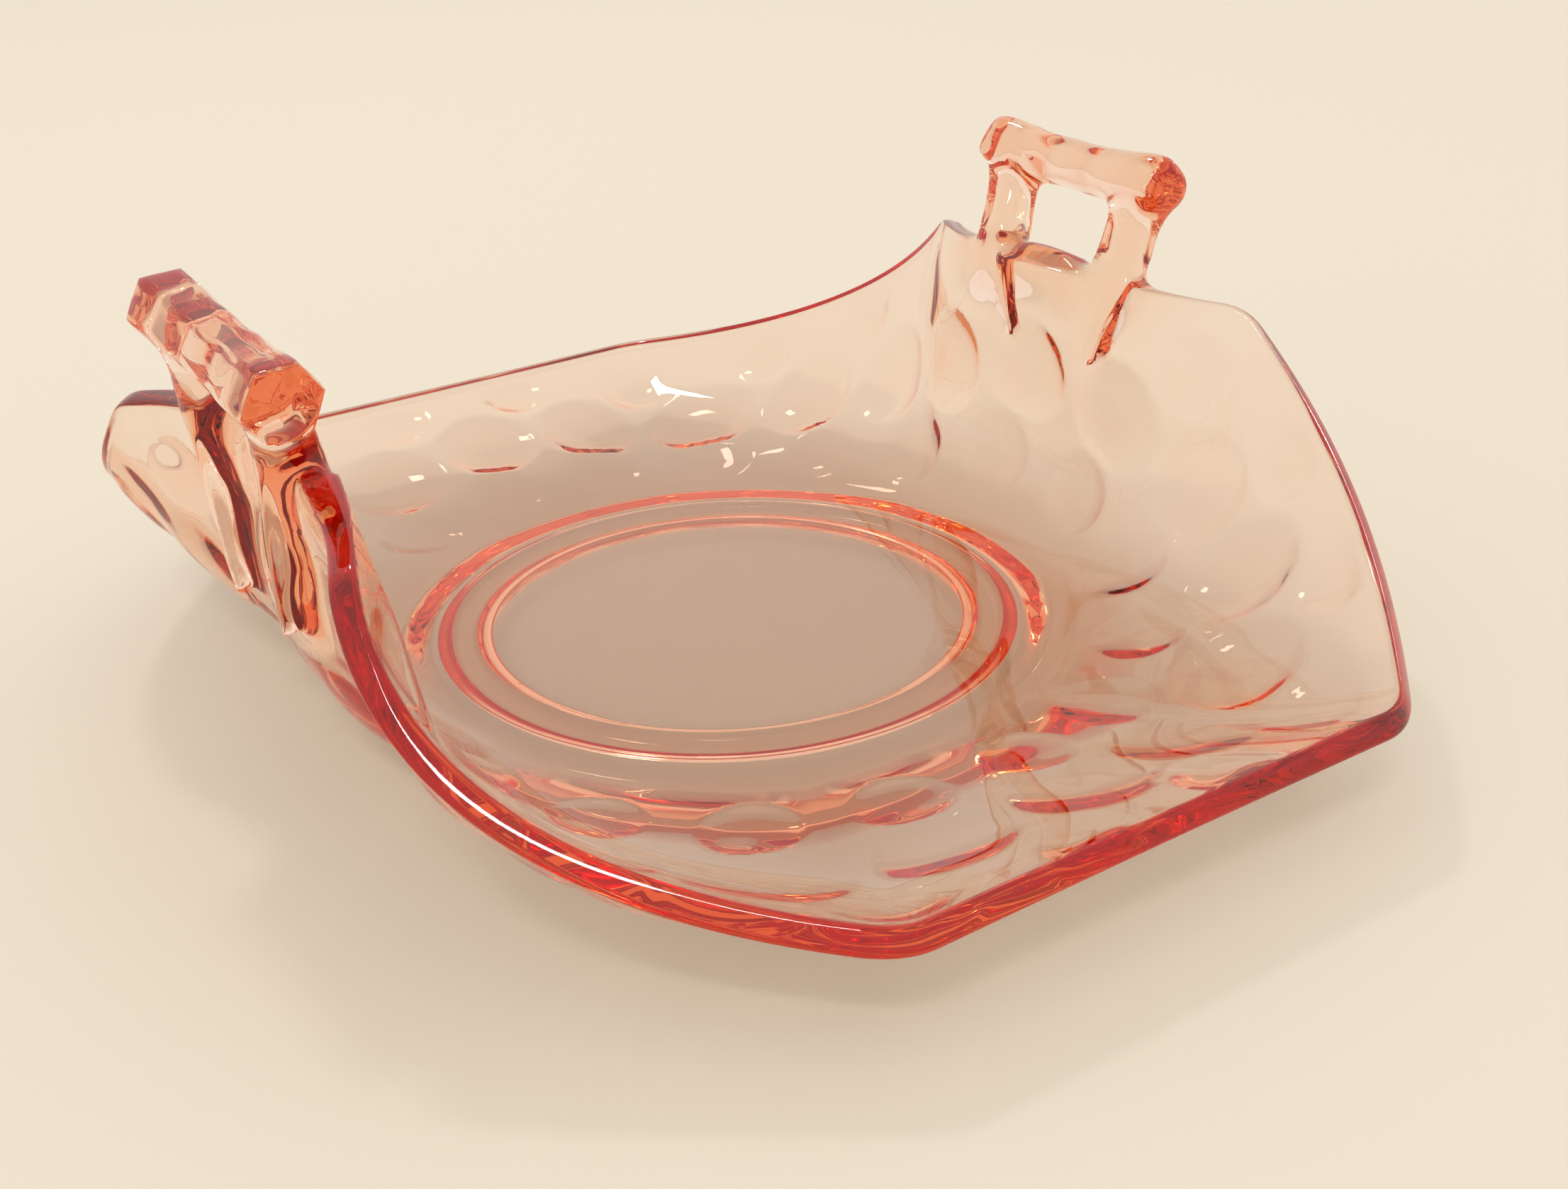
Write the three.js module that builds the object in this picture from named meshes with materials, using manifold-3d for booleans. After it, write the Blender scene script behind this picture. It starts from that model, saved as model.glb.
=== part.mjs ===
// A pressed glass candy dish: an octagonal plate on a foot ring, with two opposite sides
// folded up while hot, each carrying an open loop handle whose posts run down the wall as
// tapering tails. Millimetres, +Z up, the origin under the middle of the foot ring.
// +X points to one handle, and the two low sides face +Y and -Y.

import * as THREE from "three";
import { ParametricGeometry } from "three/addons/geometries/ParametricGeometry.js";
import { mergeVertices } from "three/addons/utils/BufferGeometryUtils.js";
import Module from "manifold-3d";

// ---- Driving dimensions ----

const glass = 3.1; // thickness of the plate and its walls
const moldGap = 0.3; // clearance where two moulded features meet

const foot = { radius: 38.2, width: 6.6, height: 2.6, edge: 2 };

const plate = {
  halfAcross: 81.6, // middle of the foot to a low side's rim
  lowCornerUp: 14.4, // the low sides' height, on the upper face
  cornerRound: 2.8, // how far from a corner its rounding starts
  edgeBulge: 1, // how far the fire-polished rim swells past its face
  lowSlope: 14, // degrees from level, at the rim of a low side
  sweepIn: 0.45, // share of a wall's chord that keeps the floor's direction
  sweepOut: 0.42, // share of a wall's chord that keeps the rim's direction
};
const wellMargin = 0.5; // flat floor beyond the foot ring's outer edge

// The glass is thicker where the posts leave it, fading out along the handle edge and down the
// wall, and round the foot ring, fading out as shares of the wall.
const thickEdge = { fullTo: 12, goneBy: 29, depthShare: 0.2 };
const belly = { extra: 1.8, fullAt: 0.1, goneBy: 0.42 };

// The two folded sides, bent by hand, so a little unlike each other. Out is along X, along is
// along Y, up is along Z. The corner, the middle and the sweep are on the upper face's edge,
// and the bar is the crossbar's middle, counted from the middle of the handle edge.
const rightFlap = {
  toward: 1,
  corner: { out: 61.2, along: 30.8, up: 40.8 },
  middle: { out: 50, up: 42.6 },
  sweep: { out: 64.6, along: 51.4, up: 20.2 }, // pulls the diagonal edge into its curve
  slope: { middle: 102, corner: 62 }, // degrees from level, along the handle edge
  bar: { out: 10.7, up: 12.1, tilt: 0.3 }, // tilt lifts the end that points to +Y
  postShift: -2, // the posts' place along the rim, from its middle
  tailReach: 0.76, // where the tails end, as a share of the way from the well to the rim
  tailProud: 2.4, // how far a tail stands out of the wall at its tip
  footProud: 5, // how far a post stands out of the wall at the rim
  edgeExtra: 3, // what the glass gains in thickness where the posts leave it
  barHeight: 7.6, // along the handle's lean, at the knuckles
  barDepth: 8.4, // across the lean, at the knuckles
  barWaist: 0.82, // the bar's middle as a share of its knuckles
};
const leftFlap = {
  toward: -1,
  corner: { out: 62.8, along: 34.6, up: 40 },
  middle: { out: 54.6, up: 43.8 },
  sweep: { out: 68.2, along: 52.2, up: 18 },
  slope: { middle: 104, corner: 60 },
  bar: { out: 7.2, up: 10.2, tilt: 1.2 },
  postShift: 1,
  tailReach: 0.62,
  tailProud: 3.4,
  footProud: 4.8,
  edgeExtra: 1.6,
  barHeight: 8.6,
  barDepth: 9.2,
  barWaist: 0.9,
};

const handle = {
  squareness: 0.7, // of the bar's and the posts' sections: 1 is round and less is squarer
  barLength: 35,
  knuckle: 2.6, // length of the rounding at each end of the bar
  endSize: 0.62, // the bar's flat end, as a share of its knuckles
  turnSize: 0.88, // the bar partway round a knuckle
  turnAt: 0.3, // how far round that is
  neckSize: 0.95, // the bar between a knuckle and the waist
  neckAt: 0.62, // the neck's place, as a share of the way out to the knuckle
  waistAt: 0.3, // where the waist starts, the same way
  postSpacing: 25.6, // between the posts' middles, where they meet the bar
  postWidth: 7.4, // across, at the bar
  postDepth: 7.2, // through the wall, at the bar
  footWidth: 6, // across, at the rim
  tailWidth: 1.8, // across, at the tip
  tailTaper: 0.35, // below 1, a tail narrows mostly just under the rim
  rimSpacing: 22, // between the posts' middles, where they cross the rim
  tipSpacing: 17, // between the tails' middles, at their tips
};

// ---- How finely the curves are cut ----

const cuts = {
  lowSide: 6,
  diagonal: 12,
  handleSide: 14,
  corner: 4,
  floor: 2,
  wall: 11,
  rim: 5,
  footTurn: 72,
  footEdge: 4,
  tubeSides: 12,
  post: 9,
};

// ---- Helpers ----

const wasm = await Module();
wasm.setup();

const rad = THREE.MathUtils.degToRad;
const lerp = THREE.MathUtils.lerp;
const point = (out, along, up) => new THREE.Vector3(out, along, up);

// A closed geometry as a manifold solid, its shared vertices merged and its faces out.
function solidOf(geometry) {
  const bare = new THREE.BufferGeometry();
  bare.setAttribute("position", geometry.getAttribute("position"));
  bare.setIndex(geometry.getIndex());
  const merged = mergeVertices(bare, 1e-3);
  const index = merged.getIndex().array;
  const triVerts = [];
  for (let i = 0; i < index.length; i += 3) {
    const [a, b, c] = [index[i], index[i + 1], index[i + 2]];
    if (a !== b && b !== c && c !== a) triVerts.push(a, b, c);
  }
  const vertProperties = new Float32Array(merged.getAttribute("position").array);
  const facing = (order) =>
    new wasm.Manifold(
      new wasm.Mesh({ numProp: 3, vertProperties, triVerts: new Uint32Array(order) }),
    );
  const solid = facing(triVerts);
  return solid.volume() > 0 ? solid : facing(triVerts.reverse());
}

function geometryOf(solid) {
  const mesh = solid.getMesh();
  const geometry = new THREE.BufferGeometry();
  geometry.setAttribute("position", new THREE.BufferAttribute(mesh.vertProperties, 3));
  geometry.setIndex(new THREE.BufferAttribute(mesh.triVerts, 1));
  geometry.computeVertexNormals();
  return geometry;
}

// A closed tube through a list of sections. Each section has a middle, two half axes across
// it, and a squareness: 1 is an ellipse and less is nearer a rectangle.
function tubeThrough(sections) {
  const rows = [sections[0], ...sections, sections.at(-1)];
  return new ParametricGeometry(
    (u, v, target) => {
      const row = Math.round(v * (rows.length - 1));
      const { middle, across, through, squareness } = rows[row];
      const capped = row === 0 || row === rows.length - 1;
      const turn = 2 * Math.PI * u;
      const soften = (x) => Math.sign(x) * Math.abs(x) ** squareness;
      target.copy(middle);
      if (capped) return;
      target.addScaledVector(across, soften(Math.cos(turn)));
      target.addScaledVector(through, soften(Math.sin(turn)));
    },
    cuts.tubeSides,
    rows.length - 1,
  );
}

// ---- The rim: the flat octagon's outline and the same outline once folded ----

const wellRadius = foot.radius + wellMargin;
const floorUp = foot.height + glass;
const cornerHeading = Math.PI / 8; // from the middle of an octagon's side to its corner
const halfSide = plate.halfAcross * Math.tan(cornerHeading);

function flapCorner(flap, along) {
  const { corner } = flap;
  return {
    flat: point(flap.toward * plate.halfAcross, along * halfSide, 0),
    folded: point(flap.toward * corner.out, along * corner.along, corner.up),
  };
}

function lowCorner(flap, along) {
  const out = flap.toward * halfSide;
  return {
    flat: point(out, along * plate.halfAcross, 0),
    folded: point(out, along * plate.halfAcross, plate.lowCornerUp),
  };
}

function edgeBetween(from, to, control, steps) {
  return {
    from,
    to,
    steps,
    flat: new THREE.LineCurve3(from.flat, to.flat),
    folded: control
      ? new THREE.QuadraticBezierCurve3(from.folded, control, to.folded)
      : new THREE.LineCurve3(from.folded, to.folded),
  };
}

// Where a quadratic curve needs its control point to pass through the middle given.
function handleEdgeControl({ toward, corner, middle }) {
  return point(toward * (2 * middle.out - corner.out), 0, 2 * middle.up - corner.up);
}

function diagonalControl({ toward, sweep }, along) {
  return point(toward * sweep.out, along * sweep.along, sweep.up);
}

function octagonEdges() {
  const r = { up: flapCorner(rightFlap, 1), down: flapCorner(rightFlap, -1) };
  const l = { up: flapCorner(leftFlap, 1), down: flapCorner(leftFlap, -1) };
  const rLow = { up: lowCorner(rightFlap, 1), down: lowCorner(rightFlap, -1) };
  const lLow = { up: lowCorner(leftFlap, 1), down: lowCorner(leftFlap, -1) };
  return [
    edgeBetween(r.down, r.up, handleEdgeControl(rightFlap), cuts.handleSide),
    edgeBetween(r.up, rLow.up, diagonalControl(rightFlap, 1), cuts.diagonal),
    edgeBetween(rLow.up, lLow.up, null, cuts.lowSide),
    edgeBetween(lLow.up, l.up, diagonalControl(leftFlap, 1), cuts.diagonal),
    edgeBetween(l.up, l.down, handleEdgeControl(leftFlap), cuts.handleSide),
    edgeBetween(l.down, lLow.down, diagonalControl(leftFlap, -1), cuts.diagonal),
    edgeBetween(lLow.down, rLow.down, null, cuts.lowSide),
    edgeBetween(rLow.down, r.down, diagonalControl(rightFlap, -1), cuts.diagonal),
  ];
}

// The outline as a list of stations, each with its flat and its folded point.
function rimStations() {
  const edges = octagonEdges();
  const trim = edges.map((edge) => plate.cornerRound / edge.folded.getLength());
  const at = (i, t) => ({
    flat: edges[i].flat.getPoint(t),
    folded: edges[i].folded.getPoint(t),
  });
  const stations = [];
  edges.forEach((edge, i) => {
    for (let step = 0; step <= edge.steps; step++) {
      stations.push(at(i, lerp(trim[i], 1 - trim[i], step / edge.steps)));
    }
    const next = (i + 1) % edges.length;
    const start = at(i, 1 - trim[i]);
    const end = at(next, trim[next]);
    const round = (key) => new THREE.QuadraticBezierCurve3(start[key], edge.to[key], end[key]);
    const [flat, folded] = [round("flat"), round("folded")];
    for (let step = 1; step < cuts.corner; step++) {
      const t = step / cuts.corner;
      stations.push({ flat: flat.getPoint(t), folded: folded.getPoint(t) });
    }
  });
  return stations;
}

// ---- The wall: a curve from the well's edge to the rim at every station ----

// The wall's direction at the rim, for the compass heading of the flat plate.
function rimDirection(heading) {
  const { slope: flapSlope } = Math.cos(heading) > 0 ? rightFlap : leftFlap;
  const turned = Math.acos(Math.abs(Math.cos(heading))); // away from the handle's middle
  const toCorner = THREE.MathUtils.smoothstep(turned, 0, cornerHeading);
  const toLow = THREE.MathUtils.smoothstep(turned, cornerHeading, Math.PI / 2);
  const foldSlope = lerp(flapSlope.middle, flapSlope.corner, toCorner);
  const slope = rad(lerp(foldSlope, plate.lowSlope, toLow));
  return point(
    Math.cos(heading) * Math.cos(slope),
    Math.sin(heading) * Math.cos(slope),
    Math.sin(slope),
  );
}

// Reach 0 to 1 is the flat floor, and 1 to 2 is the wall, on the upper face.
function stationCurve(flat, folded) {
  const heading = Math.atan2(flat.y, flat.x);
  const outward = point(Math.cos(heading), Math.sin(heading), 0);
  const start = outward.clone().multiplyScalar(wellRadius).setZ(floorUp);
  const direction = rimDirection(heading);
  const chord = start.distanceTo(folded);
  const wall = new THREE.CubicBezierCurve3(
    start,
    start.clone().addScaledVector(outward, plate.sweepIn * chord),
    folded.clone().addScaledVector(direction, -plate.sweepOut * chord),
    folded,
  );
  const upperFace = (reach) =>
    reach < 1
      ? point(0, 0, floorUp).lerp(start, reach)
      : wall.getPoint(Math.min(reach - 1, 1));
  return { upperFace, direction };
}

const ring = rimStations().map(({ flat, folded }) => stationCurve(flat, folded));

const normalStep = 0.02; // how far along the wall a direction is measured

// The upper face's normal at a station, from its neighbours on the ring and along the wall.
function faceNormal(station, reach) {
  if (reach <= 1) return point(0, 0, 1);
  const before = ring.at(station - 1).upperFace(reach);
  const after = ring[(station + 1) % ring.length].upperFace(reach);
  const inner = ring[station].upperFace(reach - normalStep);
  const outer = reach + normalStep > 2 ? null : ring[station].upperFace(reach + normalStep);
  const along = (outer ?? ring[station].upperFace(reach)).clone().sub(inner);
  return along.cross(after.sub(before)).normalize();
}

// What the wall gains in thickness round the foot and behind the posts.
function extraGlass(station, reach) {
  const { smoothstep } = THREE.MathUtils;
  const up = Math.max(reach - 1, 0);
  const swollen = smoothstep(up, 0, belly.fullAt) - smoothstep(up, belly.fullAt, belly.goneBy);
  const { x, y } = ring[station].upperFace(2);
  if (Math.abs(x) < Math.abs(y)) return belly.extra * swollen;
  const { edgeExtra } = x > 0 ? rightFlap : leftFlap;
  const along = 1 - smoothstep(Math.abs(y), thickEdge.fullTo, thickEdge.goneBy);
  const behindPosts = along * smoothstep(up, 1 - thickEdge.depthShare, 1);
  return belly.extra * swollen + edgeExtra * behindPosts;
}

// The plate's whole skin, from the middle of its lower face over the rim to the middle of
// its upper face. Grow swells it all over, to cut room round it.
function plateSkin(grow = 0) {
  const rows = [];
  for (let i = 0; i <= cuts.floor; i++) rows.push({ reach: i / cuts.floor, turn: -90 });
  for (let i = 1; i <= cuts.wall; i++) rows.push({ reach: 1 + i / cuts.wall, turn: -90 });
  const upper = rows.map(({ reach }) => ({ reach, turn: 90 })).reverse();
  for (let i = 1; i < cuts.rim; i++) rows.push({ reach: 2, turn: (180 * i) / cuts.rim - 90 });
  rows.push(...upper);
  return new ParametricGeometry(
    (u, v, target) => {
      const station = Math.round(u * ring.length) % ring.length;
      const { reach, turn } = rows[Math.round(v * (rows.length - 1))];
      const normal = faceNormal(station, reach);
      target.copy(ring[station].upperFace(reach));
      const thick = glass + extraGlass(station, reach);
      target.addScaledVector(normal, -thick / 2);
      target.addScaledVector(normal, (thick / 2 + grow) * Math.sin(rad(turn)));
      if (reach < 2) return;
      const swell = (plate.edgeBulge + grow) * Math.cos(rad(turn));
      target.addScaledVector(ring[station].direction, swell);
    },
    ring.length,
    rows.length - 1,
  );
}

// ---- The foot ring ----

function footRing() {
  const outer = foot.radius;
  const inner = foot.radius - foot.width;
  const top = foot.height - moldGap;
  const { edge } = foot;
  const profile = new THREE.Shape();
  profile.moveTo(inner, top);
  profile.lineTo(inner, edge);
  profile.absarc(inner + edge, edge, edge, Math.PI, 1.5 * Math.PI);
  profile.lineTo(outer - edge, 0);
  profile.absarc(outer - edge, edge, edge, -0.5 * Math.PI, 0);
  profile.lineTo(outer, top);
  profile.closePath();
  const turned = new THREE.LatheGeometry(profile.getPoints(cuts.footEdge), cuts.footTurn);
  return turned.rotateX(Math.PI / 2); // the lathe turns about Y, and the foot stands along Z
}

// ---- The handles ----

// Where a handle stands: its crossbar's middle and the three directions it is built along.
function handleFrame(flap) {
  const lean = point(flap.toward * flap.bar.out, 0, flap.bar.up).normalize();
  const barMiddle = point(
    flap.toward * (flap.middle.out + flap.bar.out),
    0,
    flap.middle.up + flap.bar.up,
  );
  const across = point(0, handle.barLength, 2 * flap.bar.tilt).normalize();
  const outward = across.clone().cross(lean).multiplyScalar(flap.toward).normalize();
  return { barMiddle, across, lean, outward };
}

function handleSolid(flap, bodyWithRoom) {
  const frame = handleFrame(flap);
  return crossbar(flap, frame)
    .add(postWithTail(flap, 1, frame))
    .add(postWithTail(flap, -1, frame))
    .subtract(bodyWithRoom);
}

function crossbar({ barHeight, barDepth, barWaist }, { barMiddle, across, lean, outward }) {
  const end = handle.barLength / 2;
  const shoulder = end - handle.knuckle;
  const places = [
    { at: -end, size: handle.endSize },
    { at: -end + handle.turnAt * handle.knuckle, size: handle.turnSize },
    { at: -shoulder, size: 1 },
    { at: -handle.neckAt * shoulder, size: handle.neckSize },
    { at: -handle.waistAt * shoulder, size: barWaist },
    { at: 0, size: barWaist },
  ];
  const mirrored = places.slice(0, -1).map(({ at, size }) => ({ at: -at, size })).reverse();
  return solidOf(
    tubeThrough(
      [...places, ...mirrored].map(({ at, size }) => ({
        middle: barMiddle.clone().addScaledVector(across, at),
        across: lean.clone().multiplyScalar((size * barHeight) / 2),
        through: outward.clone().multiplyScalar((size * barDepth) / 2),
        squareness: handle.squareness,
      })),
    ),
  );
}

// A post from the crossbar down to the rim, and on down the outside of the wall as a tail.
function postWithTail(flap, side, { barMiddle, across, outward }) {
  const sections = [
    {
      middle: barMiddle.clone().addScaledVector(across, (side * handle.postSpacing) / 2),
      across: across.clone().multiplyScalar(handle.postWidth / 2),
      through: outward.clone().multiplyScalar(handle.postDepth / 2),
      squareness: handle.squareness,
    },
  ];
  for (let step = 0; step <= cuts.post; step++) {
    const way = step / cuts.post;
    const along = (side * lerp(handle.rimSpacing, handle.tipSpacing, way)) / 2;
    const { upperFace } = wallAt(flap, flap.postShift + along);
    const reach = 1 + lerp(1, flap.tailReach, way);
    const down = upperFace(reach - normalStep).sub(upperFace(reach)).normalize();
    const normal = down.cross(point(0, flap.toward, 0)).normalize();
    const sunk = lerp(glass, glass / 2, way);
    const depth = sunk + lerp(flap.footProud, flap.tailProud, way);
    sections.push({
      middle: upperFace(reach).addScaledVector(normal, glass - sunk + depth / 2),
      across: point(0, lerp(handle.footWidth, handle.tailWidth, way ** handle.tailTaper) / 2, 0),
      through: normal.clone().multiplyScalar(depth / 2),
      squareness: handle.squareness,
    });
  }
  return solidOf(tubeThrough(sections));
}

// The wall below a point of the handle edge, which is that far along from its middle.
function wallAt(flap, along) {
  const edge = new THREE.QuadraticBezierCurve3(
    flapCorner(flap, -1).folded,
    handleEdgeControl(flap),
    flapCorner(flap, 1).folded,
  );
  const share = along / flap.corner.along;
  const flat = point(flap.toward * plate.halfAcross, share * halfSide, 0);
  return stationCurve(flat, edge.getPoint((1 + share) / 2));
}

// ---- The dish ----

const pinkGlass = { color: 0xf2a9a0, roughness: 0.04, metalness: 0, transparent: true, opacity: 0.45 };

function piece(name, geometry) {
  const mesh = new THREE.Mesh(geometry, new THREE.MeshStandardMaterial(pinkGlass));
  mesh.name = name;
  return mesh;
}

const body = solidOf(plateSkin());
const bodyWithRoom = solidOf(plateSkin(moldGap));

const dish = new THREE.Group();
dish.add(
  piece("dish_body", geometryOf(body)),
  piece("foot_ring", geometryOf(solidOf(footRing()))),
  piece("right_handle", geometryOf(handleSolid(rightFlap, bodyWithRoom))),
  piece("left_handle", geometryOf(handleSolid(leftFlap, bodyWithRoom))),
);

export default dish;
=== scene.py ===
import math

import bmesh
import bpy
import numpy as np
from mathutils import Matrix, Vector, kdtree


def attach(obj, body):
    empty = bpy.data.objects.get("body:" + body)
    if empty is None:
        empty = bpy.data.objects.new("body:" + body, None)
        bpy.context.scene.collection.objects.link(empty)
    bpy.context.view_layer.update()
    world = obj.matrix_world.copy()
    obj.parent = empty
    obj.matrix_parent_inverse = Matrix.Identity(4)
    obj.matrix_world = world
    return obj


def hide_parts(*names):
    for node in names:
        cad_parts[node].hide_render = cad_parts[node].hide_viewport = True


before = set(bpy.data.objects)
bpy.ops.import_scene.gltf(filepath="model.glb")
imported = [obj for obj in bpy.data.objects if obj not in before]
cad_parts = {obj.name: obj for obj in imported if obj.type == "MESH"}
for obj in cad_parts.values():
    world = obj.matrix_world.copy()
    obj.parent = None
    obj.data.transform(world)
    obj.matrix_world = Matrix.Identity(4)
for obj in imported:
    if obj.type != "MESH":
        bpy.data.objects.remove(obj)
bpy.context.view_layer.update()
mm = 0.001
scene = bpy.context.scene

view = {
    "target": (2.9, -9.3, 9.7),  # mm
    "azimuth": -33.7,  # degrees round from the front
    "elevation": 25.6,
    "distance": 246.6,
    "roll": -2.0,
    "lens": 43.6,
    "sensor": 36,
    "lightBounces": 32,  # light runs far inside a glass edge before it leaves
}


def addCamera(sizes):
    azimuth, elevation = math.radians(sizes["azimuth"]), math.radians(sizes["elevation"])
    level = math.cos(elevation)
    back = Vector((math.sin(azimuth) * level, -math.cos(azimuth) * level, math.sin(elevation)))
    data = bpy.data.cameras.new("dishCamera")
    data.sensor_width = sizes["sensor"]
    data.lens = sizes["lens"]
    camera = bpy.data.objects.new("dishCamera", data)
    scene.collection.objects.link(camera)
    turn = back.to_track_quat("Z", "Y").to_matrix().to_4x4()
    turn = turn @ Matrix.Rotation(math.radians(sizes["roll"]), 4, "Z")
    place = Vector(sizes["target"]) + back * sizes["distance"]
    camera.matrix_world = Matrix.Translation(place * mm) @ turn
    scene.camera = camera


addCamera(view)
scene.view_settings.view_transform = "Standard"  # keeps the red of thick glass
scene.cycles.max_bounces = view["lightBounces"]
scene.cycles.transmission_bounces = view["lightBounces"]
scene.cycles.glossy_bounces = view["lightBounces"]
print("camera placed")


class Wire:  # a socket whose sums become Math nodes, in material and geometry trees alike
    def __init__(self, tree, socket=None):
        self.tree, self.socket = tree, socket

    def node(self, kind, settings=None, inputs=None, out=0):  # settings first, then values or links
        made = self.tree.nodes.new(kind)
        for name, value in (settings or {}).items():
            setattr(made, name, value)
        for name, value in (inputs or {}).items():
            if isinstance(value, Wire):
                self.tree.links.new(value.socket, made.inputs[name])
            else:
                made.inputs[name].default_value = value
        return Wire(self.tree, made.outputs[out])

    def maths(self, operation, *values):
        return self.node("ShaderNodeMath", {"operation": operation}, dict(enumerate(values)))

    def __add__(self, other):
        return self.maths("ADD", self, other)

    def __radd__(self, other):
        return self.maths("ADD", other, self)

    def __sub__(self, other):
        return self.maths("SUBTRACT", self, other)

    def __rsub__(self, other):
        return self.maths("SUBTRACT", other, self)

    def __mul__(self, other):
        return self.maths("MULTIPLY", self, other)

    def __rmul__(self, other):
        return self.maths("MULTIPLY", other, self)

    def __truediv__(self, other):
        return self.maths("DIVIDE", self, other)

    def __rtruediv__(self, other):
        return self.maths("DIVIDE", other, self)

    def __pow__(self, other):
        return self.maths("POWER", self, other)

    def __rpow__(self, other):
        return self.maths("POWER", other, self)


def newMaterial(name):
    material = bpy.data.materials.new(name)
    material.use_nodes = True
    return material, material.node_tree.nodes["Principled BSDF"]


# the folded plate, in mm
plate = {
    "glass": 3.1,
    "halfAcross": 81.6,
    "lowCornerUp": 14.4,
    "cornerRound": 2.8,
    "edgeBulge": 1.0,
    "edgeSquareness": 0.55,  # 1 is a round rim and less is a flatter one
    "thickEdge": {"fullTo": 12, "goneBy": 29, "depthShare": 0.2},  # where the posts leave the rim
    "belly": {"extra": 1.8, "fullAt": 0.1, "goneBy": 0.42},  # round the foot, as shares of the wall
    "lowSlope": 14,
    "sweepIn": 0.45,
    "sweepOut": 0.42,
    "wellRadius": 38.7,
    "underFloor": (6, 14, 22, 28),  # radii of its rings of faces
    "overFloor": (30, 21, 12, 5),
    "dotsFrom": (0, 0.06),  # the dots and the ripple fade in and out, as shares of the wall
    "dotsTo": (0.93, 1),
    "cuts": {
        "lowSide": 62,
        "diagonal": 70,
        "handleSide": 74,
        "corner": 8,
        "wallUnder": 64,
        "wallOver": 21,
        "rim": 12,
    },
}
rightFlap = {
    "toward": 1,
    "corner": (61.2, 30.8, 40.8),  # out, along and up
    "middle": (50.0, 42.6),  # out and up
    "sweep": (64.6, 51.4, 20.2),
    "slope": (102, 62),  # at the middle and at the corner of the handle edge
    "bar": (10.7, 12.1, 0.3),  # out, up and tilt
    "postShift": -2,
    "tailReach": 0.76,
    "tailProud": 1.7,
    "edgeExtra": 3.0,
    "footProud": 5.0,
    "barShape": [  # place and size, from the middle to a domed end
        (0, 0.82), (0.3, 0.82), (0.55, 0.9), (0.75, 0.99), (0.86, 1.0),
        (0.92, 0.96), (0.965, 0.84), (0.99, 0.64), (1, 0.4), (1.003, 0.15),
    ],
    "barSize": (7.6, 8.4),
    "facets": 0,
}
leftFlap = {
    "toward": -1,
    "corner": (62.8, 34.6, 40.0),
    "middle": (54.6, 43.8),
    "sweep": (68.2, 52.2, 18.0),
    "slope": (104, 60),
    "bar": (7.2, 10.2, 1.2),
    "postShift": 1,
    "tailReach": 0.62,
    "tailProud": 3.4,
    "edgeExtra": 1.6,
    "footProud": 4.8,
    "barShape": [
        (0, 0.9), (0.3, 0.91), (0.6, 0.95), (0.85, 1.0), (0.95, 1.0),
        (0.985, 0.96), (0.998, 0.9), (1.004, 0.6), (1.01, 0.2),
    ],
    "barSize": (8.6, 9.2),
    "facets": 6,
}
foot = {
    "radius": 38.2,
    "width": 6.6,
    "height": 2.6,
    "edge": (2.9, 2.2),  # across and up
    "fillet": 0.4,
    "filletCuts": 5,
    "edgeCuts": 9,
}
floorUp = foot["height"] + plate["glass"]
cornerHeading = math.pi / 8
halfSide = plate["halfAcross"] * math.tan(cornerHeading)


def quadratic(points, t):
    a, b, c = (np.asarray(p, float) for p in points)
    t = np.asarray(t, float)[:, None]
    return (1 - t) ** 2 * a + 2 * t * (1 - t) * b + t * t * c


def smoothStep(x, low, high):
    t = np.clip((x - low) / (high - low), 0, 1)
    return t * t * (3 - 2 * t)


def handleEdge(flap):  # control points of the rim's curve between the two handle corners
    toward, (out, along, up), middle = flap["toward"], flap["corner"], flap["middle"]
    pull = (toward * (2 * middle[0] - out), 0, 2 * middle[1] - up)
    return [(toward * out, -along, up), pull, (toward * out, along, up)]


def diagonalEdge(flap, side):  # from the handle corner to the low corner
    toward, (out, along, up), sweep = flap["toward"], flap["corner"], flap["sweep"]
    low = (toward * halfSide, side * plate["halfAcross"], plate["lowCornerUp"])
    return [(toward * out, side * along, up), (toward * sweep[0], side * sweep[1], sweep[2]), low]


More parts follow.
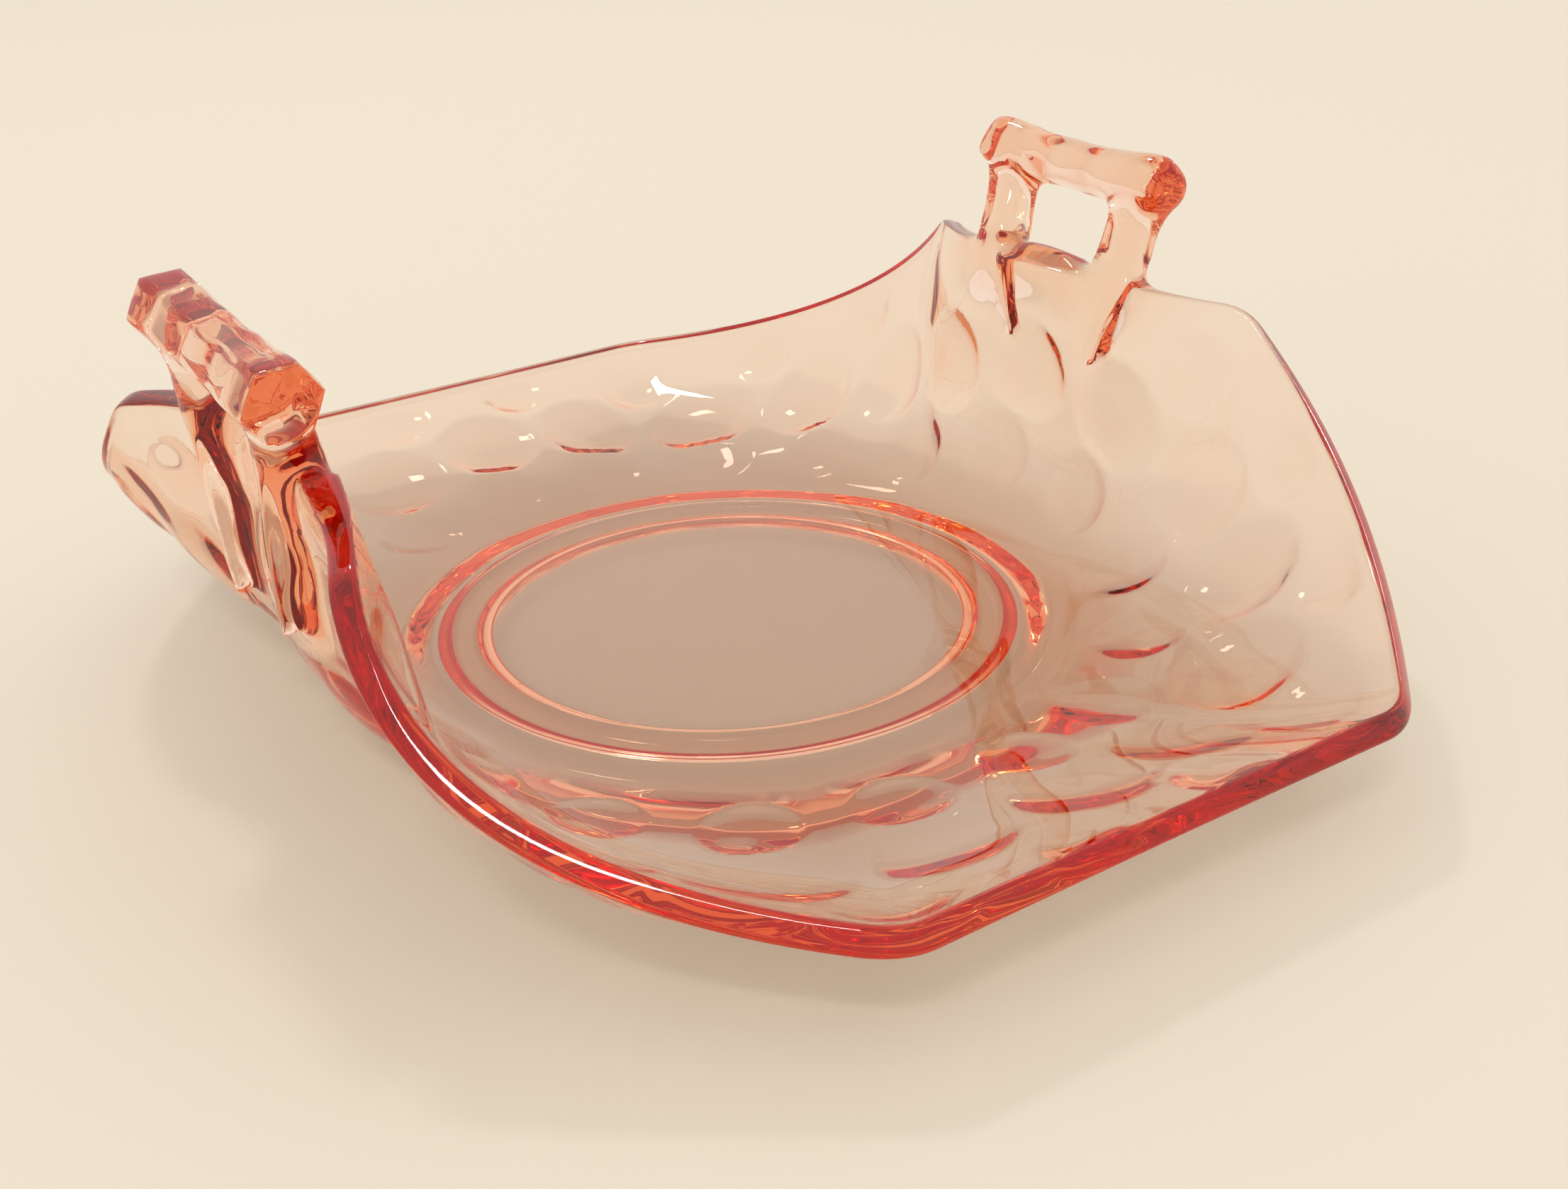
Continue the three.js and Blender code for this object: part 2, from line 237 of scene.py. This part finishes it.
def rimOutline(sizes):  # the rim before the sides were folded up, and after
    across, lowUp, cuts = sizes["halfAcross"], sizes["lowCornerUp"], sizes["cuts"]
    turned = [(across, -halfSide), (across, halfSide), (halfSide, across), (-halfSide, across)]
    corners = [np.array((x, y, 0.0)) for x, y in turned + [(-x, -y) for x, y in turned]]
    flat = [[start, (start + end) / 2, end] for start, end in zip(corners, corners[1:] + corners[:1])]
    backLow = [(halfSide, across, lowUp), (0, across, lowUp), (-halfSide, across, lowUp)]
    folded = [
        handleEdge(rightFlap),
        diagonalEdge(rightFlap, 1),
        backLow,
        diagonalEdge(leftFlap, 1)[::-1],
        handleEdge(leftFlap)[::-1],
        diagonalEdge(leftFlap, -1),
        [(-x, -y, z) for x, y, z in backLow],
        diagonalEdge(rightFlap, -1)[::-1],
    ]
    steps = [cuts["handleSide"], cuts["diagonal"], cuts["lowSide"], cuts["diagonal"]] * 2
    trims = []
    for edge in folded:
        path = quadratic(edge, np.linspace(0, 1, 101))
        trims.append(sizes["cornerRound"] / np.linalg.norm(np.diff(path, axis=0), axis=1).sum())
    flatRows, foldedRows = [], []
    for i, trim in enumerate(trims):
        after = (i + 1) % 8
        along = np.linspace(trim, 1 - trim, steps[i] + 1)
        turn = np.arange(1, cuts["corner"]) / cuts["corner"]
        for rows, edges in ((flatRows, flat), (foldedRows, folded)):
            start = quadratic(edges[i], [1 - trim])[0]
            end = quadratic(edges[after], [trims[after]])[0]
            rows += [quadratic(edges[i], along), quadratic([start, edges[i][2], end], turn)]
    return np.vstack(flatRows), np.vstack(foldedRows)


def wallCurves(flat, folded, sizes):  # a curve from the well's edge to the rim at each station
    heading = np.arctan2(flat[:, 1], flat[:, 0])
    outward = np.stack([np.cos(heading), np.sin(heading), 0 * heading], 1)
    start = outward * sizes["wellRadius"] + (0, 0, floorUp)
    turned = np.arccos(np.abs(np.cos(heading)))
    slopes = np.where(np.cos(heading)[:, None] > 0, rightFlap["slope"], leftFlap["slope"])
    toCorner = smoothStep(turned, 0, cornerHeading)
    toLow = smoothStep(turned, cornerHeading, math.pi / 2)
    slope = slopes[:, 0] * (1 - toCorner) + slopes[:, 1] * toCorner
    slope = np.radians(slope * (1 - toLow) + sizes["lowSlope"] * toLow)
    atRim = outward * np.cos(slope)[:, None] + np.sin(slope)[:, None] * (0, 0, 1)
    chord = np.linalg.norm(folded - start, axis=1)[:, None]
    leaving = start + outward * sizes["sweepIn"] * chord
    arriving = folded - atRim * sizes["sweepOut"] * chord
    return [start, leaving, arriving, folded], atRim


def alongWall(curves, reach):  # stations by reaches by xyz, on the upper face
    t = np.asarray(reach, float)[None, :, None]
    a, b, c, d = (p[:, None] for p in curves)
    return (1 - t) ** 3 * a + 3 * t * (1 - t) ** 2 * b + 3 * t * t * (1 - t) * c + t**3 * d


def wallNormals(curves, reach):
    t = np.asarray(reach, float)
    step = 1e-3
    up = alongWall(curves, np.minimum(t + step, 1)) - alongWall(curves, np.maximum(t - step, 0))
    here = alongWall(curves, t)
    alongRim = np.roll(here, -1, 0) - np.roll(here, 1, 0)
    normal = np.cross(up, alongRim)
    normal /= np.linalg.norm(normal, axis=2)[..., None]
    normal[:, t <= 0] = (0, 0, 1)
    return normal


def thickness(folded, reach, share, sizes):  # of the wall, at every station
    edge, belly = sizes["thickEdge"], sizes["belly"]
    extra = np.where(folded[:, 0] > 0, rightFlap["edgeExtra"], leftFlap["edgeExtra"])
    x, y = np.abs(folded[:, 0]), np.abs(folded[:, 1])
    behindPosts = np.where(x > y, 1 - smoothStep(y, edge["fullTo"], edge["goneBy"]), 0)
    behindPosts = behindPosts * smoothStep(reach, 1 - edge["depthShare"], 1)
    thinning = 1 - smoothStep(share, belly["fullAt"], belly["goneBy"])
    swollen = smoothStep(share, 0, belly["fullAt"]) * thinning
    return (sizes["glass"] + extra * behindPosts + belly["extra"] * swollen)[:, None]


def footProfile(sizes):  # radius and height, from inside the ring to outside it
    inner, outer, top = sizes["radius"] - sizes["width"], sizes["radius"], sizes["height"]
    (wide, tall), fillet = sizes["edge"], sizes["fillet"]
    corner = np.radians(np.linspace(0, 90, sizes["filletCuts"]))
    quarter = np.radians(np.linspace(0, 90, sizes["edgeCuts"]))
    rise = top - fillet
    points = [(inner - fillet + fillet * math.sin(a), rise + fillet * math.cos(a)) for a in corner[:-1]]
    points += [(inner + wide - wide * math.cos(a), tall - tall * math.sin(a)) for a in quarter]
    points += [(outer - wide + wide * math.sin(a), tall - tall * math.cos(a)) for a in quarter]
    points += [(outer + fillet - fillet * math.cos(a), rise + fillet * math.sin(a)) for a in corner[1:]]
    return points[:-1]  # the last point is the wall's first


def skinFaces(count, rings):  # quads between closed rings of points, and a fan at each end
    middle = rings * count
    last = middle - count
    faces = []
    for i in range(count):
        k = (i + 1) % count
        faces.append((middle, k, i))
        for r in range(rings - 1):
            faces.append((r * count + i, r * count + k, (r + 1) * count + k, (r + 1) * count + i))
        faces.append((middle + 1, last + i, last + k))
    return faces


def buildSkin(sizes):  # rings of points: under the floor, out to the rim, and back over the wall
    flat, folded = rimOutline(sizes)
    curves, atRim = wallCurves(flat, folded, sizes)
    heading = np.arctan2(flat[:, 1], flat[:, 0])
    outward = np.stack([np.cos(heading), np.sin(heading)], 1)
    count = len(flat)
    cuts = sizes["cuts"]
    rows, places, masks, inwards = [], [], [], []

    def addRow(points, place=None, mask=0.0, inward=(0, 0, 0)):
        rows.append(points)
        places.append(np.zeros((count, 3)) if place is None else place)
        masks.append(np.full(count, mask))
        inwards.append(np.broadcast_to(inward, (count, 3)))

    def circle(radius, height):
        return np.column_stack([outward * radius, np.full(count, height)])

    for radius in sizes["underFloor"]:
        addRow(circle(radius, foot["height"]))
    for radius, height in footProfile(foot):
        addRow(circle(radius, height))
    reach = np.linspace(0, 1, cuts["wallUnder"] + 1)
    over = alongWall(curves, reach)
    normal = wallNormals(curves, reach)
    steps = np.linalg.norm(np.diff(over, axis=1), axis=2)
    run = np.concatenate([np.zeros((count, 1)), np.cumsum(steps, axis=1)], 1)
    share = run / run[:, -1:]
    flatRim = np.linalg.norm(flat, axis=1)
    for j in range(cuts["wallUnder"] + 1):
        flatRadius = sizes["wellRadius"] + (flatRim - sizes["wellRadius"]) * share[:, j]
        place = np.column_stack([outward * flatRadius[:, None], 0 * heading]) * mm
        fade = float(smoothStep(reach[j], *sizes["dotsFrom"]) * (1 - smoothStep(reach[j], *sizes["dotsTo"])))
        thick = thickness(folded, reach[j], share[:, j], sizes)
        addRow(over[:, j] - normal[:, j] * thick, place, fade, normal[:, j])
    for turn in np.radians(np.linspace(-90, 90, cuts["rim"] + 1))[1:-1]:
        across = math.copysign(abs(math.sin(turn)) ** sizes["edgeSquareness"], math.sin(turn))
        swell = sizes["edgeBulge"] * math.cos(turn) ** sizes["edgeSquareness"]
        addRow(over[:, -1] + normal[:, -1] * thick / 2 * (across - 1) + atRim * swell)
    over = alongWall(curves, np.linspace(1, 0, cuts["wallOver"] + 1))
    for j in range(cuts["wallOver"] + 1):
        addRow(over[:, j])
    for radius in sizes["overFloor"]:
        addRow(circle(radius, floorUp))
    verts = np.vstack(rows + [[(0, 0, foot["height"]), (0, 0, floorUp)]]) * mm
    mesh = bpy.data.meshes.new("plateSkin")
    mesh.from_pydata(verts.tolist(), [], skinFaces(count, len(rows)))
    ends = np.zeros((2, 3))
    for name, kind, values in (
        ("flatPlace", "FLOAT_VECTOR", np.vstack(places + [ends])),
        ("inward", "FLOAT_VECTOR", np.vstack(inwards + [ends])),
        ("dotted", "FLOAT", np.concatenate(masks + [np.zeros(2)])),
    ):
        layer = mesh.attributes.new(name, kind, "POINT")
        field = "vector" if kind == "FLOAT_VECTOR" else "value"
        layer.data.foreach_set(field, values.astype(np.float32).ravel())
    mesh.update()
    return mesh


def volumeOf(mesh):
    bm = bmesh.new()
    bm.from_mesh(mesh)
    volume = bm.calc_volume(signed=True)
    bm.free()
    return volume


def newObject(name, mesh):
    made = bpy.data.objects.new(name, mesh)
    scene.collection.objects.link(made)
    return made


def faceOut(mesh):
    if volumeOf(mesh) < 0:
        mesh.flip_normals()
    return mesh


skin = newObject("plateSkin", faceOut(buildSkin(plate)))
print("skin", len(skin.data.vertices), "points, volume", round(volumeOf(skin.data) * 1e6, 2), "cm3")

# pink pressed glass
glassLook = {
    "ior": 1.52,
    "clear": (0.955, 0.45, 0.08, 1),  # what the volume keeps of each colour
    "density": 80.0,  # per metre
    "smear": (0.0, 0.035),  # roughness, polished to handled
    "smearFall": 2.2,
    "smearNoise": {"Scale": 38.0, "Detail": 5.0, "Roughness": 0.62},
    "waveNoise": {"Scale": 90.0, "Detail": 1.5},
    "waveBump": {"Strength": 0.35, "Distance": 0.00006},
}


def makePinkGlass(look):
    material, shader = newMaterial("pinkPressedGlass")
    tree = material.node_tree
    shader.inputs["Base Color"].default_value = (1, 1, 1, 1)
    shader.inputs["Transmission Weight"].default_value = 1
    shader.inputs["IOR"].default_value = look["ior"]
    start = Wire(tree)
    place = start.node("ShaderNodeTexCoord", out="Object")
    smears = start.node("ShaderNodeTexNoise", None, {"Vector": place, **look["smearNoise"]})
    polished, handled = look["smear"]
    roughness = polished + (handled - polished) * smears ** look["smearFall"]
    tree.links.new(roughness.socket, shader.inputs["Roughness"])
    waves = start.node("ShaderNodeTexNoise", None, {"Vector": place, **look["waveNoise"]})
    bump = start.node("ShaderNodeBump", None, {**look["waveBump"], "Height": waves})
    tree.links.new(bump.socket, shader.inputs["Normal"])
    absorbing = {"Color": look["clear"], "Density": look["density"]}
    volume = start.node("ShaderNodeVolumeAbsorption", None, absorbing)
    tree.links.new(volume.socket, tree.nodes["Material Output"].inputs["Volume"])
    return material


pinkGlass = makePinkGlass(glassLook)
print("glass material made")

# coin dots and pressed ripple
dots = {
    "Dot Rise": 0.074,  # a share of their radius: they stand out of the underside like shallow lenses
    "Dot Crown": 3.0,  # 2 is a plain dome and more has a flatter middle
    "Ripple Height": 0.2 * mm,
    "Ripple Scale": 60.0,
    "Ripple Seed": 3.0,
}
dotRings = [  # flat radius, how many, heading of the first in degrees, dot radius
    (53.5, 20, 6.0, 5.8),
    (66.5, 24, 1.5, 8.0),
    (78.0, 24, 9.0, 5.6),
]


def dotTree(rings, material):
    tree = bpy.data.node_groups.new("coinDots", "GeometryNodeTree")
    face = tree.interface
    face.new_socket("Geometry", in_out="INPUT", socket_type="NodeSocketGeometry")
    for name in dots:
        face.new_socket(name, in_out="INPUT", socket_type="NodeSocketFloat")
    face.new_socket("Geometry", in_out="OUTPUT", socket_type="NodeSocketGeometry")
    source, result = tree.nodes.new("NodeGroupInput"), tree.nodes.new("NodeGroupOutput")
    given = {socket.name: Wire(tree, socket) for socket in source.outputs}
    start = Wire(tree)

    def named(name, kind="FLOAT"):
        return start.node("GeometryNodeInputNamedAttribute", {"data_type": kind}, {"Name": name}, "Attribute")

    def atNearest(value, kind):
        inputs = {"Geometry": centres, "Value": value, "Index": nearest}
        return start.node("GeometryNodeSampleIndex", {"data_type": kind}, inputs)

    centres = start.node("GeometryNodeJoinGeometry")
    for radius, count, first, dotRadius in rings:
        circle = start.node("GeometryNodeMeshCircle", None, {"Vertices": count, "Radius": radius * mm})
        heading = (0, 0, math.radians(first))
        circle = start.node("GeometryNodeTransform", None, {"Geometry": circle, "Rotation": heading})
        sized = start.node(
            "GeometryNodeStoreNamedAttribute", {"data_type": "FLOAT", "domain": "POINT"},
            {"Geometry": circle, "Name": "dotRadius", "Value": dotRadius * mm},
        )
        tree.links.new(sized.socket, centres.socket.node.inputs[0])
    place = named("flatPlace", "FLOAT_VECTOR")
    nearest = start.node(
        "GeometryNodeSampleNearest", {"domain": "POINT"}, {"Geometry": centres, "Sample Position": place}
    )
    centre = atNearest(start.node("GeometryNodeInputPosition"), "FLOAT_VECTOR")
    size = atNearest(named("dotRadius"), "FLOAT")
    gap = start.node("ShaderNodeVectorMath", {"operation": "DISTANCE"}, {0: place, 1: centre}, "Value")
    share = start.maths("MINIMUM", gap / size, 1.0)
    dome = 1.0 - share ** given["Dot Crown"]
    pressed = dome * (size * (given["Dot Rise"] * -1.0)) * named("dotted")
    ripple = start.node(
        "ShaderNodeTexNoise", {"noise_dimensions": "4D"},
        {"Scale": given["Ripple Scale"], "W": given["Ripple Seed"], "Detail": 1.0},
    )
    push = pressed + (ripple - 0.5) * given["Ripple Height"] * named("dotted")
    offset = start.node(
        "ShaderNodeVectorMath", {"operation": "SCALE"}, {0: named("inward", "FLOAT_VECTOR"), "Scale": push}
    )
    moved = start.node("GeometryNodeSetPosition", None, {"Geometry": given["Geometry"], "Offset": offset})
    real = start.node("GeometryNodeRealizeInstances", None, {"Geometry": moved})
    glassed = start.node("GeometryNodeSetMaterial", None, {"Geometry": real, "Material": material})
    tree.links.new(glassed.socket, result.inputs[0])
    return tree


def bakeMesh(piece):  # leaves the evaluated piece as a plain mesh, with its modifiers gone
    depsgraph = bpy.context.evaluated_depsgraph_get()
    mesh = bpy.data.meshes.new_from_object(piece.evaluated_get(depsgraph))
    piece.modifiers.clear()
    piece.data = mesh


press = skin.modifiers.new("coinDots", "NODES")
press.node_group = dotTree(dotRings, pinkGlass)
for item in press.node_group.interface.items_tree:
    if item.in_out == "INPUT" and item.name in dots:
        press[item.identifier] = dots[item.name]
bakeMesh(skin)
print("dots pressed")

# the two loop handles, in mm
handle = {
    "barLength": 35,
    "barCuts": 46,
    "postSpacing": 25.6,
    "postWidth": 7.2,
    "postDepth": 7.0,
    "postNeck": 0.94,  # halfway between the bar and the rim
    "postStations": 13,  # from the rim to a tail's tip
    "postCuts": 60,
    "footWidth": 6.0,
    "rimSpacing": 22,
    "tailWidth": 1.3,
    "tailTaper": 0.35,  # below 1, a tail narrows mostly just under the rim
    "tipBead": 0.45,  # how much a tail swells at its tip
    "beadFrom": (0.82, 0.95),  # where it swells, as shares of the tail
    "tipSpacing": 17,
    "squareness": 0.72,
    "facetSoftness": 0.15,
    "facetSize": 1.06,
    "sides": 36,
}
wobble = {"size": 0.13, "rate": 0.7, "start": (0.4, 1.9, 3.1)}  # hand-worked glass is never quite even


def sectionShape(sizes, facets=0):  # a rounded square, or a rounded polygon of that many facets
    turn = np.linspace(0, 2 * math.pi, sizes["sides"], endpoint=False)
    shape = np.stack([np.cos(turn), np.sin(turn)], 1)
    if not facets:
        return np.sign(shape) * np.abs(shape) ** sizes["squareness"]
    half = math.pi / facets
    off = (turn + half) % (2 * half) - half
    soft = sizes["facetSoftness"]
    flat = (1 - soft) * math.cos(half) / np.cos(half - np.abs(off)) * sizes["facetSize"]
    return shape * (soft + flat)[:, None]


def loft(name, sections, shape):  # a closed tube through its sections
    rings = [middle + shape[:, :1] * across + shape[:, 1:] * deep for middle, across, deep in sections]
    verts = np.vstack(rings + [[sections[0][0], sections[-1][0]]])
    verts = (verts + wobble["size"] * np.sin(verts[:, [1, 2, 0]] * wobble["rate"] + wobble["start"])) * mm
    mesh = bpy.data.meshes.new(name)
    mesh.from_pydata(verts.tolist(), [], skinFaces(len(shape), len(rings)))
    return newObject(name, faceOut(mesh))


def unit(v):
    return np.asarray(v, float) / np.linalg.norm(v)


def spline(points, count):  # a smooth path through rows of numbers
    points = np.asarray(points, float)
    padded = np.vstack([2 * points[0] - points[1], points, 2 * points[-1] - points[-2]])
    places = np.linspace(0, len(points) - 1, count)
    rows = []
    for place in places:
        i = min(int(place), len(points) - 2)
        t = place - i
        a, b, c, d = padded[i:i + 4]
        square, cube = (2 * a - 5 * b + 4 * c - d) * t * t, (3 * b - a - 3 * c + d) * t**3
        rows.append(0.5 * (2 * b + (c - a) * t + square + cube))
    return np.array(rows)


def wallAt(flap, along, reach):  # upper face and outside normal below a point of the handle edge
    share = along / flap["corner"][1]
    shares = share + np.array([-1e-3, 0, 1e-3])
    flat = np.column_stack([np.full(3, flap["toward"] * plate["halfAcross"]), shares * halfSide, np.zeros(3)])
    curves, _ = wallCurves(flat, quadratic(handleEdge(flap), (1 + shares) / 2), plate)
    here = alongWall(curves, [reach])[1, 0]
    down = unit(alongWall(curves, [reach - 0.02])[1, 0] - here)
    return here, unit(np.cross(down, (0, flap["toward"], 0)))


def postSections(flap, side, top, across, outward, sizes):  # from the bar to a tail's tip
    rows = [(*top, *(across * sizes["postWidth"] / 2), *(outward * sizes["postDepth"] / 2))]
    for way in np.linspace(0, 1, sizes["postStations"]):
        along = side * (sizes["rimSpacing"] * (1 - way) + sizes["tipSpacing"] * way) / 2
        here, normal = wallAt(flap, flap["postShift"] + along, 1 - way * (1 - flap["tailReach"]))
        sunk = plate["glass"] * (1 - way / 2)
        depth = sunk + flap["footProud"] * (1 - way) + flap["tailProud"] * way
        wide = sizes["footWidth"] + (sizes["tailWidth"] - sizes["footWidth"]) * way ** sizes["tailTaper"]
        wide *= 1 + sizes["tipBead"] * float(smoothStep(way, *sizes["beadFrom"]))
        middle = here + normal * (plate["glass"] - sunk + depth / 2)
        rows.append((*middle, 0, wide / 2, 0, *(normal * depth / 2)))
    half = (np.array(rows[0]) + np.array(rows[1])) / 2
    half[3:] *= sizes["postNeck"]
    path = spline([rows[0], half] + rows[1:], sizes["postCuts"])
    return [(row[:3], row[3:6], row[6:9]) for row in path]


def buildHandle(flap, name, sizes):
    toward, (out, up, tilt), middle = flap["toward"], flap["bar"], flap["middle"]
    lean = unit((toward * out, 0, up))
    barMiddle = np.array((toward * (middle[0] + out), 0, middle[1] + up))
    across = unit((0, sizes["barLength"], 2 * tilt))
    outward = unit(np.cross(across, lean) * toward)
    profile = spline(flap["barShape"], sizes["barCuts"])
    profile = np.vstack([profile[:0:-1] * (-1, 1), profile])
    high, deep = flap["barSize"]
    bar = []
    for place, size in profile:
        centre = barMiddle + across * place * sizes["barLength"] / 2
        bar.append((centre, lean * size * high / 2, outward * size * deep / 2))
    pieces = [loft(name + "Bar", bar, sectionShape(sizes, flap["facets"]))]
    for side in (1, -1):
        top = barMiddle + across * side * sizes["postSpacing"] / 2
        post = postSections(flap, side, top, across, outward, sizes)
        pieces.append(loft(name + "Post", post, sectionShape(sizes)))
    return pieces


def joinGlass(base, others):
    for other in others:
        join = base.modifiers.new("join", "BOOLEAN")
        join.operation, join.solver, join.object = "UNION", "MANIFOLD", other
    bakeMesh(base)
    for other in others:
        bpy.data.objects.remove(other)


def pointsOf(mesh):
    points = np.empty(len(mesh.vertices) * 3, np.float32)
    mesh.vertices.foreach_get("co", points)
    return points.reshape(-1, 3)


def treeOf(points):
    tree = kdtree.KDTree(len(points))
    for i, point in enumerate(points):
        tree.insert(point, i)
    tree.balance()
    return tree


blendLook = {
    "reach": 2.8,  # mm, how far from a seam the glass is rounded
    "edge": 0.42,  # mm
    "merge": 0.02,  # mm
    "rounds": 70,
    "pull": 0.5,
    "pullRise": 1.6,  # above 1, the full pull reaches out from the seam
}
samePlace = 2e-6  # metres, between a point of the joined glass and one from before the join


def blendSeams(mesh, before, sizes):  # rounds the hollow where two pieces of glass met
    known = treeOf(before)
    seam = [p for p in pointsOf(mesh) if known.find(p)[2] > samePlace]
    seamTree = treeOf(seam)
    reach = sizes["reach"] * mm
    longest = sizes["edge"] * 2 * mm

    def away(vert):
        return seamTree.find(vert.co)[2]

    bm = bmesh.new()
    bm.from_mesh(mesh)
    bmesh.ops.triangulate(bm, faces=[f for f in bm.faces if any(away(v) < reach for v in f.verts)])
    for _ in range(2):
        near = {v for v in bm.verts if away(v) < reach}
        inside = [e for e in bm.edges if e.verts[0] in near and e.verts[1] in near]
        longEdges = [e for e in inside if e.calc_length() > longest]
        bmesh.ops.subdivide_edges(bm, edges=longEdges, cuts=1, use_grid_fill=True)
        split = [f for f in bm.faces if len(f.verts) > 3 and any(v in near for v in f.verts)]
        bmesh.ops.triangulate(bm, faces=split)
    near = [v for v in bm.verts if away(v) < reach]
    bmesh.ops.remove_doubles(bm, verts=near, dist=sizes["merge"] * mm)
    bm.verts.ensure_lookup_table()
    bm.verts.index_update()
    weights = {v.index: 1 - away(v) / reach for v in bm.verts if away(v) < reach}
    places = np.array([v.co for v in bm.verts])
    pairs = np.array([(e.verts[0].index, e.verts[1].index) for e in bm.edges])
    pairs = np.vstack([pairs, pairs[:, ::-1]])
    inNear = np.zeros(len(places), bool)
    inNear[list(weights)] = True
    pairs = pairs[inNear[pairs[:, 0]]]
    near = np.array(sorted(weights))
    pull = np.array([sizes["pull"] * min(1, sizes["pullRise"] * weights[i]) for i in near])[:, None]
    degree = np.bincount(pairs[:, 0], minlength=len(places))[near, None]
    for _ in range(sizes["rounds"]):
        sums = [np.bincount(pairs[:, 0], places[pairs[:, 1], axis], len(places))[near] for axis in range(3)]
        places[near] += pull * (np.stack(sums, 1) / degree - places[near])
    for i in near:
        bm.verts[i].co = places[i]
    print("seam", len(seam), "points,", len(near), "smoothed")
    bm.to_mesh(mesh)
    bm.free()


handles = buildHandle(rightFlap, "right", handle) + buildHandle(leftFlap, "left", handle)
before = np.vstack([pointsOf(piece.data) for piece in [skin] + handles])
joinGlass(skin, handles)
print("joined", len(skin.data.vertices), "points")
blendSeams(skin.data, before, blendLook)
dish = skin
dish.name = "dish_glass"
dish.data.name = "dish_glass"
dish.data.materials.clear()
dish.data.materials.append(pinkGlass)
dish.data.shade_smooth()
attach(dish, "root")
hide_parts("dish_body", "foot_ring", "right_handle", "left_handle")
print("dish", len(dish.data.polygons), "faces")

# floor and light
studio = {
    "floorSize": 3.0,
    "floorColour": (0.78, 0.71, 0.6, 1),
    "floorRoughness": 0.6,
    "floorDrop": 0.0004,  # the foot touches at a few points only
    "sky": (1.0, 0.955, 0.89, 1),
    "skyStrength": 0.95,
    "aim": (0, 0, 0.02),
}
lights = [  # name, place, width and height, watts, colour
    ("window", (0.1, 0.6, 0.95), (0.12, 0.1), 1.3, (1, 0.98, 0.95)),
    ("corner", (-0.55, -0.62, 1.0), (0.3, 0.09), 2.0, (1, 1, 1)),
    ("side", (1.15, 0.16, 0.3), (0.2, 0.03), 0.4, (1, 1, 1)),
]


def addFloor(look):
    mesh = bpy.data.meshes.new("floor")
    half = look["floorSize"] / 2
    corners = [(-half, -half), (half, -half), (half, half), (-half, half)]
    mesh.from_pydata([(x, y, -look["floorDrop"]) for x, y in corners], [], [(0, 1, 2, 3)])
    floor = newObject("floor", mesh)
    material, shader = newMaterial("paleFloor")
    shader.inputs["Base Color"].default_value = look["floorColour"]
    shader.inputs["Roughness"].default_value = look["floorRoughness"]
    mesh.materials.append(material)


def addSky(look):
    world = bpy.data.worlds.new("studio")
    scene.world = world
    world.use_nodes = True
    world.node_tree.nodes["Background"].inputs[0].default_value = look["sky"]
    world.node_tree.nodes["Background"].inputs[1].default_value = look["skyStrength"]


def addLight(name, place, aim, size, power, colour):
    data = bpy.data.lights.new(name, "AREA")
    data.shape, data.size, data.size_y = "RECTANGLE", size[0], size[1]
    data.energy, data.color = power, colour
    light = bpy.data.objects.new(name, data)
    scene.collection.objects.link(light)
    away = Vector(place) - Vector(aim)
    light.matrix_world = Matrix.Translation(place) @ away.to_track_quat("Z", "Y").to_matrix().to_4x4()


addFloor(studio)
addSky(studio)
for name, place, size, power, colour in lights:
    addLight(name, place, studio["aim"], size, power, colour)
print("studio lit")
